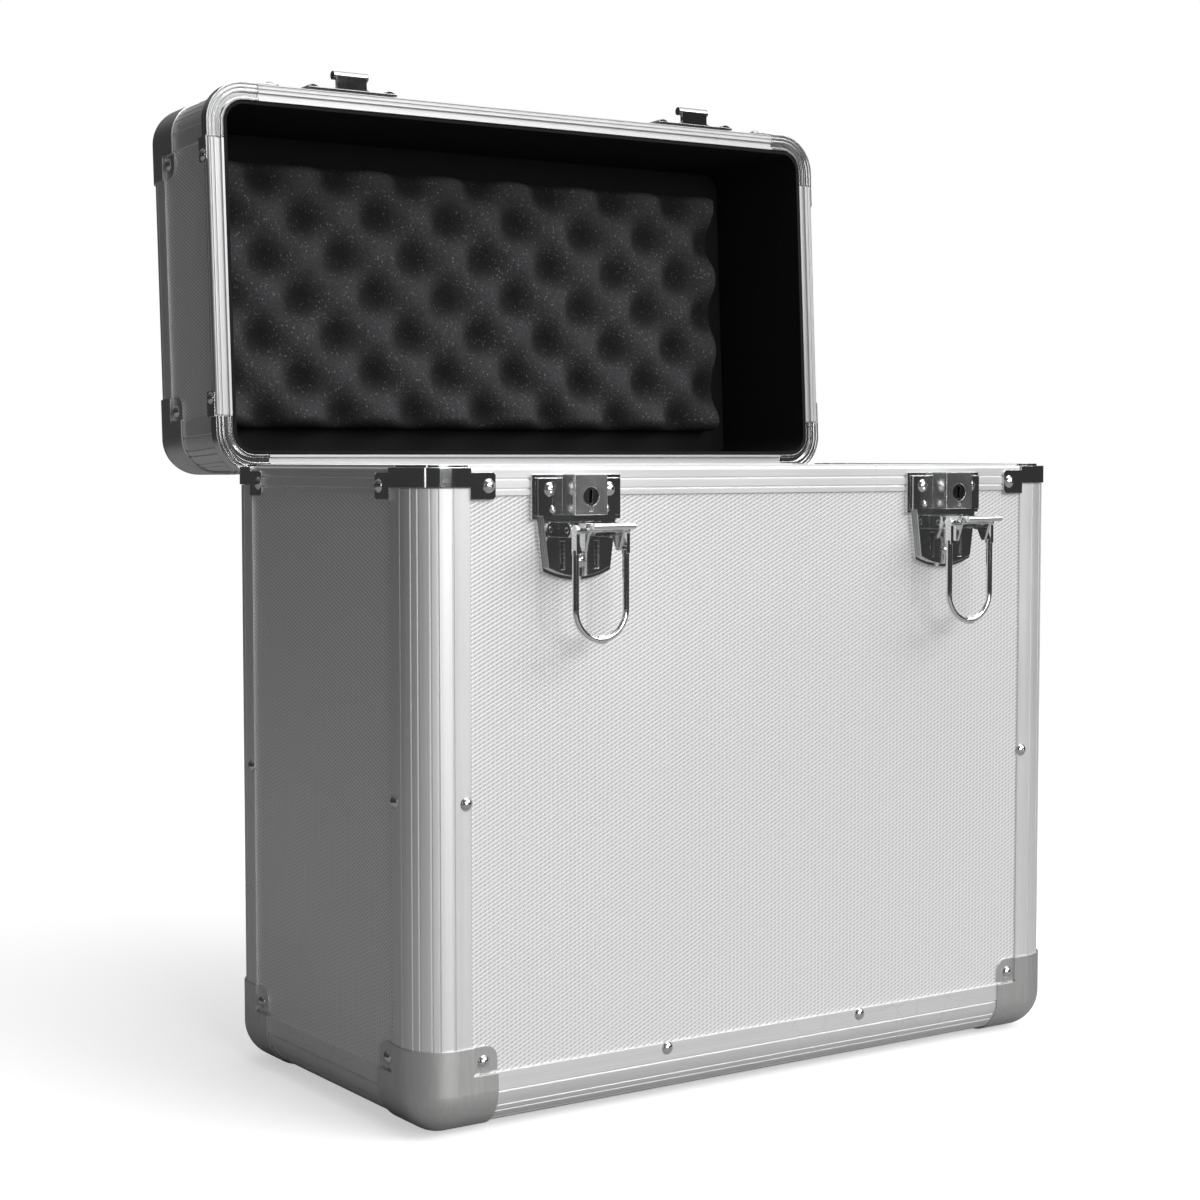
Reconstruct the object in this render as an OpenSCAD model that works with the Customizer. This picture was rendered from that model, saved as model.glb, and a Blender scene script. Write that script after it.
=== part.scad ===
// Hard-sided record carrying case with a hinged lid, shown with the lid open.
// Frame: +Z up, the latched front faces -Y, +X is to the viewer's right.
// Origin: on the plane the four feet stand on, under the middle of the body.

/* [Body] */
// Width of the body over its edge rails
case_w = 370; // [320:1:440]
// Depth of the body over its edge rails
case_d = 185; // [150:1:260]
// Height of the body from the underside of its rails to the rim
body_h = 286; // [220:1:340]
// Gap between the floor and the underside of the rails
floor_gap = 2; // [1.5:0.5:5]

/* [Lid] */
// Height of the lid from its rim to its top rails
lid_h = 84; // [78:1:120]
// Angle between the closed and the open lid
open_angle = 93; // [70:1:110]
// Gap between the two rims when the lid is closed
rim_gap = 0.4; // [0.3:0.1:1]

/* [Panels and rails] */
// Thickness of the laminated panels
panel_t = 4; // [3:0.5:5]
// How far the rails stand proud of the panels
rail_proud = 1; // [0.8:0.1:1.4]
// Outer radius of the rounded rails
edge_r = 17.5; // [15:0.5:20]
// Reach of a rail along each panel, from the outer plane
rail_reach = 25; // [23:0.5:30]
// Wall of the rounded part of a rail
rail_wall = 1.6; // [1.2:0.1:2]
// Thickness of the inner lip of a rail
lip_t = 0.9; // [0.7:0.1:1.2]
// Width of the fine grooves along the rails
groove_w = 0.9; // [0.6:0.1:1.2]
// Clearance of a panel in the slot of its rail
slot_clear = 0.15; // [0.1:0.05:0.3]
// Clearance between pieces that meet end to end
butt_clear = 0.2; // [0.1:0.05:0.5]

/* [Rims] */
// Height of the rim band on the body
body_band_h = 12; // [10:0.5:16]
// Width of the body rim across its top
body_rim_w = 8.2; // [7.8:0.1:12]
// Height of the rim band on the lid
lid_band_h = 6; // [5:0.5:8]
// How far the lid rim stands out past its rails
lid_rim_proud = 2.5; // [1.5:0.1:3]
// Width of the lid rim across its face
lid_rim_w = 8.4; // [7.4:0.1:10]
// Thickness of the rim walls
rim_wall = 1.5; // [1.2:0.1:2]
// Height of the tongue on the body rim
tongue_h = 1.1; // [0.8:0.1:1.4]
// Width of the tongue on the body rim
tongue_w = 1.4; // [1:0.1:2]
// Distance of the tongue from the outer plane
tongue_in = 2.6; // [2:0.1:3]
// Clearance round the tongue in the groove of the lid rim
tongue_clear = 0.6; // [0.5:0.1:0.8]
// Height of the chromed corner band on the body rim
clip_band_h = 8.5; // [7:0.5:10]
// Thickness of the chromed corner pieces outside the rail plane
clip_t = 0.8; // [0.6:0.1:1.2]
// Length of the riveted tab of a rim corner past the rail
clip_tab_l = 12; // [10:0.5:16]
// Height of the riveted tab of a rim corner
clip_tab_h = 11.6; // [10:0.1:13]
// Distance of that tab from the edge of the rim
clip_tab_drop = 2; // [1.5:0.5:3]

/* [Steel corners] */
// Reach of a steel corner from the outer planes
cap_reach = 37.5; // [35:0.5:45]
// Sheet thickness of a steel corner
cap_t = 0.8; // [0.6:0.1:1]
// Clearance between a steel corner and the rails under it
cap_clear = 0.1; // [0.05:0.05:0.2]
// Corner radius of the riveted tabs
cap_tab_r = 6; // [4:0.5:9]
// Width of the slit beside a riveted tab
cap_slit = 1.2; // [0.8:0.1:2]

/* [Rivets] */
// Radius of a rivet head
rivet_r = 3.1; // [2.5:0.1:4]
// Height of a rivet head
rivet_h = 1.7; // [1.2:0.1:2.5]
// Distance of a rail rivet from the outer plane of the next face
rivet_in = 22.5; // [20:0.1:28]
// Distance of a corner rivet from the outer planes
cap_rivet_in = 30.5; // [29:0.1:33]

/* [Lining and foam] */
// Thickness of the lining sheet
lining_t = 1.5; // [1:0.1:3]
// Clearance between the lining and the rail lips
lining_clear = 0.3; // [0.2:0.05:0.6]
// Corner radius of the lining
lining_r = 11; // [9:0.5:14]
// Base thickness of the foam pad
foam_base = 8; // [5:1:12]
// Height of the foam peaks above the base
foam_peak = 16; // [8:1:24]
// Pitch of the foam peaks
foam_pitch = 45; // [30:1:60]
// Distance from the foam pad to the lining at its sides
foam_margin = 16; // [8:1:30]

/* [Latches] */
// Distance of a latch from the outer plane at its side
latch_in = 78; // [60:1:100]
// Width of the upper part of a latch plate
latch_w = 46; // [42:1:50]
// Distance of the top of a latch plate below the rim
latch_drop = 3; // [2:0.5:5]
// Height of the upper part of a latch plate
latch_upper_h = 19.5; // [18:0.5:24]
// Height of a latch plate over all
latch_h = 46; // [44:0.5:52]
// Width of the shield at its foot
shield_w = 35; // [30:1:38]
// Sheet thickness of the latch plate
latch_t = 1.2; // [1:0.1:1.5]
// Height of the raised face of the shield above the rails
shield_rise = 3.6; // [3:0.1:4.5]
// Width of the lock box
lock_w = 18; // [16:0.5:20]
// Height of the lock box
lock_h = 17.5; // [16:0.5:19]
// How far the lock box stands out past the raised plate
lock_out = 9; // [7:0.5:10]
// Radius of the key plug
plug_r = 4; // [3.5:0.1:4.5]
// Running clearance of the key plug
plug_clear = 0.05; // [0.03:0.01:0.08]
// Distance of the lever pivot below the rim
pivot_drop = 27; // [26:0.5:30]
// Distance of the lever pivot in front of the rails
pivot_out = 10; // [9:0.5:12]
// Length of the lever from its pivot to its lip
lever_l = 20; // [18:0.5:24]
// Distance between the two side flanges of the lever, outside
lever_w = 19; // [17:0.5:20]
// Sheet thickness of the lever
lever_t = 1.2; // [1:0.1:1.4]
// Radius of the lever pin
pin_r = 1.2; // [1:0.1:1.5]
// Running clearance of the lever and of the loop on their pins
pin_clear = 0.08; // [0.05:0.01:0.1]
// Distance from the lever pivot to the loop pivot
loop_throw = 10; // [9:0.5:11]
// Radius of the wire of the loop
wire_r = 1.5; // [1.2:0.1:1.7]
// Half the distance between the arms of the loop
loop_half = 13; // [12.5:0.1:14]
// Length of the loop from its pivot to its end
loop_l = 47; // [46:0.5:50]
// Lean of the closed loop towards the lid, in degrees
loop_lean = 4; // [3:0.5:4.5]

/* [Catches] */
// Width of the catch base
catch_w = 50; // [44:1:54]
// Width of the rolled lip of the hook
hook_w = 19.5; // [18:0.5:22]
// Width of the neck where the loop straddles it
hook_neck_w = 17; // [15:0.5:18]
// Sheet thickness of the hook
hook_t = 1.5; // [1.2:0.1:1.8]
// Radius of the rolled lip of the hook
hook_roll_r = 2.2; // [2:0.1:2.6]
// Clearance between the closed loop and the hook
hook_clear = 0.4; // [0.3:0.1:0.8]
// Height of the catch base along the lid
catch_h = 16; // [14:0.5:22]

/* [Hinges] */
// Distance of a hinge from the middle of the case
hinge_x = 105; // [70:1:130]
// Length of a hinge along its pin
hinge_l = 45; // [36:1:60]
// Distance of the hinge pin behind the rails
hinge_out = 3; // [2.8:0.1:4]
// Distance of the hinge pin below the rim
hinge_drop = 3; // [2.8:0.1:4]
// Radius of the hinge barrel
barrel_r = 2.6; // [2.3:0.1:2.7]
// Radius of the hinge pin
hinge_pin_r = 1.3; // [1:0.1:1.5]
// Sheet thickness of the hinge leaves
leaf_t = 1.2; // [1:0.1:1.5]
// Height of a hinge leaf
leaf_h = 30; // [24:1:36]

/* [Handle] */
// Distance between the two handle pivots
handle_w = 118; // [100:1:140]
// Reach of the handle from its pivots to the middle of the grip
handle_reach = 34; // [28:1:38]
// Height of the handle pivots above the lid
handle_pivot = 9; // [8:0.5:12]
// Radius of the grip
grip_r = 7.5; // [6:0.5:8.5]
// Radius of the handle pins
handle_pin_r = 2.5; // [2:0.1:3]

/* [Feet] */
// Radius of a foot
foot_r = 9; // [7:0.5:12]
// Distance of a foot from the steel corner beside it
foot_gap = 2; // [1:0.5:6]
// Radius of the boss that carries a foot on the bottom panel
foot_boss_r = 5.8; // [4:0.1:7]

/* [Hidden] */
$fn = 48;
eps = 0.01;
half_w = case_w / 2;
half_d = case_d / 2;
body_z = floor_gap;
rim_z = body_z + body_h;
seam_z = rim_z + rim_gap;
lid_z = seam_z + lid_h;
panel_in = rail_proud + panel_t;
lip_in = panel_in + slot_clear;
lining_in = lip_in + lip_t + lining_clear;
hinge_y = half_d + hinge_out;
hinge_z = rim_z - hinge_drop;
// Radius of the nub at the end of a loop
nub_r = wire_r + 0.5;
// Height above the seam at which the closed loop straddles the neck of the hook
straddle_x = hook_neck_w / 2 + hook_clear;
straddle_h = sqrt((loop_half - wire_r) * (loop_half - wire_r) - straddle_x * straddle_x);
straddle_drop = pivot_drop + loop_throw + rim_gap;
hook_v = (loop_l - loop_half + straddle_h) * cos(loop_lean) - straddle_drop - hook_t - hook_clear;
// Distance of the closed loop's wire in front of the panel where it passes the hook
hook_p = pivot_out - (straddle_drop + hook_v) * tan(loop_lean);
// Depth of the panel slot in the body rim, and height of the sill in the lid rim
rim_slot = 5.5;
lid_sill = 2 * rim_wall;
// Height of the riveted tabs on the lid rim corners
lid_tab_h = 8.6;
// Angles of the fine grooves round a rail
GROOVES = [3, 25, 36, 54, 65, 87];
SIDES = [-1, 1];

// ---------- shared forms ----------

module flip(sx, sy, sz) {
    mirror([sx > 0 ? 1 : 0, 0, 0]) mirror([0, sy > 0 ? 1 : 0, 0]) mirror([0, 0, sz > 0 ? 1 : 0])
        children();
}

// A corner of the case as origin, with the case in +x and +y
module at_corner(sx, sy) {
    translate([sx * half_w, sy * half_d, 0]) flip(sx, sy, 0) children();
}

module in_lid() {
    translate([0, hinge_y, hinge_z]) rotate([-open_angle, 0, 0])
        translate([0, -hinge_y, -hinge_z]) children();
}

// Both legs of a shape that mirrors across the diagonal of a corner
module both_legs() {
    children();
    multmatrix([[0, 1, 0, 0], [1, 0, 0, 0], [0, 0, 1, 0], [0, 0, 0, 1]]) children();
}

// Cross-section of a rounded rail: curved wall, two flanges, two lips
module rail_profile() {
    web_x = edge_r - rail_wall;
    difference() {
        union() {
            intersection() {
                translate([edge_r, edge_r]) difference() {
                    circle(edge_r);
                    circle(edge_r - rail_wall);
                }
                square(edge_r);
            }
            both_legs() {
                translate([edge_r, 0]) square([rail_reach - edge_r, rail_proud]);
                translate([web_x, rail_wall / 2])
                    square([rail_wall, lip_in + lip_t - rail_wall / 2]);
                translate([web_x, lip_in]) square([rail_reach - edge_r, lip_t]);
            }
        }
        for (a = GROOVES)
            translate([edge_r * (1 - sin(a)), edge_r * (1 - cos(a))]) circle(groove_w / 2, $fn = 16);
    }
}

// Plan of a strip that follows a rounded corner, from out outside to in inside
module corner_strip(out, in, reach = rail_reach) {
    intersection() {
        translate([edge_r, edge_r]) difference() {
            circle(edge_r + out);
            circle(edge_r - in);
        }
        translate([-out, -out]) square(edge_r + out);
    }
    both_legs() translate([edge_r, -out]) square([reach - edge_r, out + in]);
}

// A length of any profile along X, profile x inward and profile y up
module along_x(length) {
    rotate([90, 0, 90]) linear_extrude(length, center = true) children();
}

// The same along Y, for the left side
module along_y(length) {
    rotate([90, 0, 0]) linear_extrude(length, center = true) children();
}

module rivet(r = rivet_r, h = rivet_h) {
    ball = (r * r + h * h) / (2 * h);
    intersection() {
        translate([0, 0, h - ball]) sphere(ball);
        cylinder(r = r, h = h);
    }
}

// A rivet on a face that looks along -Y or +Y (s), or along X
module rivet_y(s, r = rivet_r, h = rivet_h) rotate([-s * 90, 0, 0]) rivet(r, h);

run_x = case_w - 2 * rail_reach - 2 * butt_clear;
run_y = case_d - 2 * rail_reach - 2 * butt_clear;
panel_x = case_w - 2 * edge_r - 2 * butt_clear;
panel_y = case_d - 2 * edge_r - 2 * butt_clear;

// ---------- panels ----------

// A wall panel of the front or back (s), between two heights
module wall_y(s, z0, z1) {
    color("gainsboro") translate([-panel_x / 2, s > 0 ? half_d - panel_in : -half_d + rail_proud, z0])
        cube([panel_x, panel_t, z1 - z0]);
}

module wall_x(s, z0, z1) {
    color("gainsboro") translate([s > 0 ? half_w - panel_in : -half_w + rail_proud, -panel_y / 2, z0])
        cube([panel_t, panel_y, z1 - z0]);
}

module flat_panel(z) {
    color("gainsboro") translate([-panel_x / 2, -panel_y / 2, z]) cube([panel_x, panel_y, panel_t]);
}

body_panel_z0 = body_z + edge_r + butt_clear;
body_panel_z1 = rim_z - rim_slot - butt_clear;
lid_panel_z0 = seam_z + lid_sill + butt_clear;
lid_panel_z1 = lid_z - edge_r - butt_clear;

// ---------- rails ----------

module upright(sx, sy, z0, z1) {
    color("silver") at_corner(sx, sy) translate([0, 0, z0]) linear_extrude(z1 - z0) rail_profile();
}

module body_upright(sx, sy) {
    upright(sx, sy, body_z + rail_reach + butt_clear, rim_z - clip_band_h - butt_clear);
}

// Bottom rails of the body, and with a flip the top rails of the lid
module rail_front() color("silver") translate([0, -half_d, 0]) along_x(run_x) rail_profile();
module rail_left() color("silver") translate([-half_w, 0, 0]) along_y(run_y) rail_profile();

module body_rail_y(s) translate([0, 0, body_z]) flip(0, s, 0) rail_front();
module body_rail_x(s) translate([0, 0, body_z]) flip(s, 0, 0) rail_left();
module lid_rail_y(s) in_lid() translate([0, 0, lid_z]) flip(0, s, 1) rail_front();
module lid_rail_x(s) in_lid() translate([0, 0, lid_z]) flip(s, 0, 1) rail_left();

// ---------- rims ----------

rim_round = 1.2;
BODY_RIM_GROOVES = [-4.9, -9.2];

// Cross-section of the body rim, origin at its outer top edge
module body_rim_profile() {
    difference() {
        union() {
            translate([0, -body_band_h]) square([rail_proud, body_band_h]);
            translate([0, -rim_wall - rim_round / 2]) square([rim_round, rim_wall]);
            translate([0, -rim_wall]) square([body_rim_w, rim_wall]);
            translate([0, -rim_slot]) square([lip_in + lip_t, rim_wall]);
            translate([lip_in, -body_band_h]) square([lip_t, body_band_h]);
            translate([tongue_in, 0]) square([tongue_w, tongue_h]);
        }
        translate([0, -rim_round]) difference() {
            translate([-1, 0]) square([rim_round + 1, rim_round + 1]);
            translate([rim_round, 0]) circle(rim_round, $fn = 24);
        }
        for (v = BODY_RIM_GROOVES) translate([0, v]) circle(groove_w / 2, $fn = 16);
    }
}

// Cross-section of the lid rim, origin where the seam meets the rail plane
module lid_rim_profile() {
    inner = lid_rim_w - lid_rim_proud;
    difference() {
        union() {
            translate([-lid_rim_proud, 0]) square([lid_rim_w, lid_sill]);
            translate([-lid_rim_proud, 0]) square([lid_rim_proud + rail_proud, lid_band_h]);
            translate([lip_in, 0]) square([inner - lip_in, lid_band_h]);
        }
        translate([tongue_in - tongue_clear, -1])
            square([tongue_w + 2 * tongue_clear, 1 + tongue_h + tongue_clear / 2]);
        for (u = [-lid_rim_proud * 0.6, 0.4]) translate([u, 0]) circle(groove_w / 2, $fn = 16);
        translate([-lid_rim_proud, lid_band_h / 2]) circle(groove_w / 2, $fn = 16);
        translate([-lid_rim_proud, lid_band_h]) rotate(45) square(1.6, center = true);
        translate([-lid_rim_proud, 0]) rotate(45) square(0.8, center = true);
    }
}

module body_rim_y(s) {
    color("silver") translate([0, 0, rim_z]) flip(0, s, 0)
        translate([0, -half_d, 0]) along_x(run_x) body_rim_profile();
}
module body_rim_x(s) {
    color("silver") translate([0, 0, rim_z]) flip(s, 0, 0)
        translate([-half_w, 0, 0]) along_y(run_y) body_rim_profile();
}
module lid_rim_y(s) {
    color("silver") in_lid() translate([0, 0, seam_z]) flip(0, s, 0)
        translate([0, -half_d, 0]) along_x(run_x) lid_rim_profile();
}
module lid_rim_x(s) {
    color("silver") in_lid() translate([0, 0, seam_z]) flip(s, 0, 0)
        translate([-half_w, 0, 0]) along_y(run_y) lid_rim_profile();
}

// Riveted tab of a rim corner on the face in front of it
module clip_tab(base, h) {
    overlap = 0.4;
    translate([rail_reach - overlap, -base - clip_t, -h]) difference() {
        cube([clip_tab_l + overlap, clip_t, h]);
        for (z = [0, h]) translate([clip_tab_l + overlap, 0, z])
            rotate([-90, 0, 0]) rotate(45) translate([0, 0, -1]) cube([1.6, 1.6, 2 * clip_t + 4], center = true);
    }
}

module body_rim_corner() {
    translate([0, 0, -rim_wall]) linear_extrude(rim_wall) corner_strip(clip_t, body_rim_w);
    translate([0, 0, -clip_band_h]) linear_extrude(clip_band_h) corner_strip(clip_t, rail_proud - slot_clear);
    translate([0, 0, -clip_band_h]) linear_extrude(clip_band_h) corner_strip(-lip_in, lip_in + lip_t);
    linear_extrude(tongue_h) corner_strip(-tongue_in, tongue_in + tongue_w);
    both_legs() translate([0, 0, -clip_tab_drop]) clip_tab(0, clip_tab_h);
}

module lid_rim_corner() {
    out = lid_rim_proud + clip_t / 2;
    inner = lid_rim_w - lid_rim_proud;
    difference() {
        union() {
            linear_extrude(lid_sill) corner_strip(out, inner);
            linear_extrude(lid_band_h) corner_strip(out, rail_proud - slot_clear);
            linear_extrude(lid_band_h) corner_strip(-lip_in, inner);
            both_legs() {
                translate([0, 0, lid_tab_h + 0.6]) clip_tab(lid_rim_proud, lid_tab_h);
                translate([rail_reach + butt_clear, -lid_rim_proud - clip_t, lid_band_h + butt_clear])
                    cube([clip_tab_l - 2, lid_rim_proud + clip_t + rail_proud, lid_tab_h - lid_band_h]);
            }
        }
        translate([0, 0, -1]) linear_extrude(1 + tongue_h + tongue_clear / 2)
            corner_strip(-(tongue_in - tongue_clear), tongue_in + tongue_w + tongue_clear, rail_reach + 1);
        for (u = [-lid_rim_proud * 0.6, 0.4])
            translate([0, 0, -1]) linear_extrude(1 + groove_w / 2)
                corner_strip(-(u - groove_w / 2), u + groove_w / 2, rail_reach + 1);
    }
}

module body_rim_corners() {
    color("gainsboro") for (sx = SIDES, sy = SIDES)
        at_corner(sx, sy) translate([0, 0, rim_z]) body_rim_corner();
}
module lid_rim_corners() {
    color("gainsboro") in_lid() for (sx = SIDES, sy = SIDES)
        at_corner(sx, sy) translate([0, 0, seam_z]) lid_rim_corner();
}

module lid_uprights() {
    in_lid() for (sx = SIDES, sy = SIDES)
        upright(sx, sy, seam_z + lid_band_h + butt_clear, lid_z - rail_reach - butt_clear);
}

// ---------- steel corners ----------

// The three cyclic turns of the axes
TURNS = [
    [[1, 0, 0, 0], [0, 1, 0, 0], [0, 0, 1, 0], [0, 0, 0, 1]],
    [[0, 0, 1, 0], [1, 0, 0, 0], [0, 1, 0, 0], [0, 0, 0, 1]],
    [[0, 1, 0, 0], [0, 0, 1, 0], [1, 0, 0, 0], [0, 0, 0, 1]],
];

module quarter_ring(r_in, r_out) {
    difference() {
        intersection() {
            circle(r_out);
            square(r_out);
        }
        circle(r_in);
    }
}

// Ball corner, three rounded edges, a bottom plate and two riveted faces
module steel_corner() {
    r_in = edge_r + cap_clear;
    r_out = r_in + cap_t;
    shell = cap_clear + cap_t;
    leg = cap_reach - edge_r;
    step_x = rail_reach + cap_clear;
    tab_h = cap_reach - rail_reach - cap_slit;
    translate([edge_r, edge_r, edge_r]) rotate([0, 180, 0]) rotate(-90)
        rotate_extrude(angle = 90) quarter_ring(r_in, r_out);
    for (turn = TURNS) multmatrix(turn)
        translate([edge_r, edge_r, edge_r]) linear_extrude(leg) rotate(180) quarter_ring(r_in, r_out);
    translate([edge_r, edge_r, -shell]) cube([leg, leg, cap_t]);
    both_legs() {
        translate([edge_r, -shell, edge_r]) cube([leg, cap_t, rail_reach - edge_r]);
        translate([edge_r, -shell, edge_r]) cube([step_x - edge_r, cap_t, leg]);
        translate([step_x - cap_t, -shell, rail_reach + cap_slit])
            cube([2 * cap_t, cap_t, tab_h]);
        translate([step_x, -shell, rail_reach + cap_slit]) cube([cap_t, shell + rail_proud, tab_h]);
        translate([step_x, rail_proud - cap_t, rail_reach + cap_slit])
            corner_tab(cap_reach - step_x, tab_h);
    }
}

// Tab of a steel corner, one upper corner rounded
module corner_tab(w, h) {
    r = min(cap_tab_r, h - 1, w - 1);
    rotate([90, 0, 0]) translate([0, 0, -cap_t]) linear_extrude(cap_t) {
        square([w, h - r]);
        square([w - r, h]);
        translate([w - r, h - r]) circle(r);
    }
}

module body_steel_corners() {
    color("darkgray") for (sx = SIDES, sy = SIDES)
        at_corner(sx, sy) translate([0, 0, body_z]) steel_corner();
}
module lid_steel_corners() {
    color("darkgray") in_lid() for (sx = SIDES, sy = SIDES)
        at_corner(sx, sy) translate([0, 0, lid_z]) mirror([0, 0, 1]) steel_corner();
}

// ---------- linings, foam, feet ----------

// Plan of the lining at a depth inside its outer face
module lining_plan(inset) {
    x = half_w - lining_in - inset;
    y = half_d - lining_in - inset;
    r = lining_r - inset;
    square([2 * x, 2 * (y - r)], center = true);
    square([2 * (x - r), 2 * y], center = true);
    for (sx = SIDES, sy = SIDES) translate([sx * (x - r), sy * (y - r)]) circle(r);
}

lining_z0 = body_z + lining_in;
lining_z1 = rim_z - rim_wall - lining_clear;
lid_lining_z0 = seam_z + lining_clear;
lid_lining_z1 = lid_z - lining_in;

module body_lining() {
    color("dimgray") difference() {
        translate([0, 0, lining_z0]) linear_extrude(lining_z1 - lining_z0) lining_plan(0);
        translate([0, 0, lining_z0 + lining_t]) linear_extrude(lining_z1) lining_plan(lining_t);
    }
}

module lid_lining() {
    color("dimgray") in_lid() difference() {
        translate([0, 0, lid_lining_z0]) linear_extrude(lid_lining_z1 - lid_lining_z0) lining_plan(0);
        translate([0, 0, lid_lining_z0 - lining_t])
            linear_extrude(lid_lining_z1 - lid_lining_z0) lining_plan(lining_t);
    }
}

foam_x = case_w - 2 * (lining_in + lining_t + foam_margin);
foam_y = case_d - 2 * (lining_in + lining_t + foam_margin);
foam_z1 = lid_lining_z1 - lining_t;

// Convoluted pad under the top of the lid, peaks as cones on a staggered grid
module lid_foam() {
    columns = floor(foam_x / foam_pitch);
    rows = floor(foam_y / (foam_pitch / 2));
    color([0.2, 0.2, 0.22]) in_lid() {
        translate([-foam_x / 2, -foam_y / 2, foam_z1 - foam_base]) cube([foam_x, foam_y, foam_base]);
        for (row = [0:rows - 1], column = [0:columns - 1 - row % 2])
            translate([(column - (columns - 1 - row % 2) / 2) * foam_pitch,
                       (row - (rows - 1) / 2) * foam_pitch / 2,
                       foam_z1 - foam_base - foam_peak])
                cylinder(r1 = foam_pitch / 9, r2 = foam_pitch / 4.2, h = foam_peak + 1, $fn = 20);
    }
}

foot_x = half_w - cap_reach - foot_r - foot_gap;
foot_y = half_d - rail_reach - foot_boss_r - butt_clear;

module feet() {
    edge = 0.4;
    color([0.15, 0.15, 0.15]) for (sx = SIDES, sy = SIDES) translate([sx * foot_x, sy * foot_y, 0]) {
        cylinder(r1 = foot_r - edge, r2 = foot_r, h = edge);
        translate([0, 0, edge]) cylinder(r = foot_r, h = body_z - edge);
        cylinder(r = foot_boss_r, h = body_z + rail_proud);
    }
}

// ---------- latches ----------

// Origin at the rim, in the rail plane, on the middle line of a latch
module at_latch(s) {
    translate([s * (half_w - latch_in), -half_d, rim_z]) children();
}

// Outline of a latch plate in the plane of the front, drawn in by inset
module plate_outline(inset) {
    shoulder = 2.5;
    tip = 4;
    top = -latch_drop - inset;
    mid = -latch_drop - latch_upper_h + inset;
    foot = -latch_drop - latch_h + inset;
    polygon(concat(
        [[latch_w / 2 - inset, mid], [latch_w / 2 - inset, top],
         [inset - latch_w / 2, top], [inset - latch_w / 2, mid],
         [inset + shoulder - latch_w / 2, mid]],
        [for (t = [-1:0.25:1]) [t * (shield_w / 2 - inset), foot + tip * t * t]],
        [[latch_w / 2 - shoulder - inset, mid]]
    ));
}

// A plate of that outline between two heights in front of the rails
module plate_slab(inset, p0, p1) {
    rotate([90, 0, 0]) translate([0, 0, p0]) linear_extrude(p1 - p0) plate_outline(inset);
}

slot_z0 = -pivot_drop - lever_l + 3;
slot_h = 12;
ear_gap = 0.3;
ear_x = lever_w / 2 + ear_gap;

module latch_plate(s) {
    rim_foot = -body_band_h - butt_clear;
    ear_r = pin_r + 2;
    color("lightgray") at_latch(s) difference() {
        union() {
            plate_slab(0, 0, latch_t);
            intersection() {
                plate_slab(0, -rail_proud, latch_t);
                translate([-latch_w, -latch_t, rim_foot - 2 * latch_h]) cube([2 * latch_w, pivot_out, 2 * latch_h]);
            }
            plate_slab(1.6, 0, shield_rise);
            for (side = SIDES) translate([side * (ear_x + latch_t / 2), 0, -pivot_drop])
                rotate([90, 0, 0]) translate([-latch_t / 2, -ear_r, shield_rise - latch_t])
                    cube([latch_t, 2 * ear_r, pivot_out - shield_rise + latch_t]);
            for (side = SIDES) translate([side * (ear_x + latch_t / 2), -pivot_out, -pivot_drop])
                rotate([0, 90, 0]) cylinder(r = ear_r, h = latch_t, center = true);
        }
        difference() {
            plate_slab(1.6 + latch_t, latch_t / 2 - 0.01, shield_rise - latch_t);
            translate([-latch_w, -pivot_out, -latch_drop - latch_upper_h])
                cube([2 * latch_w, 2 * pivot_out, latch_upper_h]);
        }
        plate_slab(1.6 + latch_t, -rail_proud - 1, latch_t / 2);
        for (side = SIDES) translate([side * (lever_w - lever_t) / 2, 0, slot_z0])
            translate([-lever_t / 2 - 0.7, -shield_rise - 1, 0]) cube([lever_t + 1.4, shield_rise + 3, slot_h]);
        translate([0, -pivot_out, -pivot_drop]) rotate([0, 90, 0])
            cylinder(r = pin_r, h = latch_w, center = true);
    }
}

plug_z = -latch_drop - lock_h * 0.54;
plug_back = 1.5;

module lock_box(s) {
    front = shield_rise + lock_out;
    color("lightgray") at_latch(s) difference() {
        translate([-lock_w / 2, -front, -latch_drop - lock_h]) cube([lock_w, lock_out, lock_h]);
        translate([0, -shield_rise - plug_back, plug_z]) rotate([90, 0, 0])
            cylinder(r = plug_r + plug_clear, h = lock_out);
        translate([-1, -front - 1, plug_z - 6.4]) cube([2, 2.2, 6.4]);
        translate([-lock_w / 2 + 2, -front + 1.5, -latch_drop - lock_h - 1]) cube([lock_w - 4, 3.5, 3.2]);
        for (side = SIDES) translate([side * lock_w / 2, -front, 0])
            rotate(45) cube([1.2, 1.2, 4 * lock_h], center = true);
    }
}

module key_plug(s) {
    long = lock_out - plug_back - 0.5;
    color("silver") at_latch(s) translate([0, -shield_rise - plug_back - 0.2, plug_z])
        rotate([90, 0, 0]) difference() {
            cylinder(r = plug_r, h = long);
            translate([-0.7, -plug_r * 0.75, long - 3.5]) cube([1.4, plug_r * 1.5, 4]);
        }
}

// Side view of a lever flange: x is the distance from the pivot, y is up
module flange_outline() {
    top = pin_r + 1 + lever_t;
    circle(pin_r + 1.8);
    polygon([[-pin_r - 1.8, 0], [-pin_r - 1.8, top], [lever_l - 4, top], [lever_l - 4, top - 1.6],
             [loop_throw + 4.2, -1.5], [loop_throw + 1.6, -8.6], [loop_throw - 0.6, -8.6],
             [loop_throw - 3.4, -3.6], [0, -pin_r - 1.6]]);
}

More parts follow.
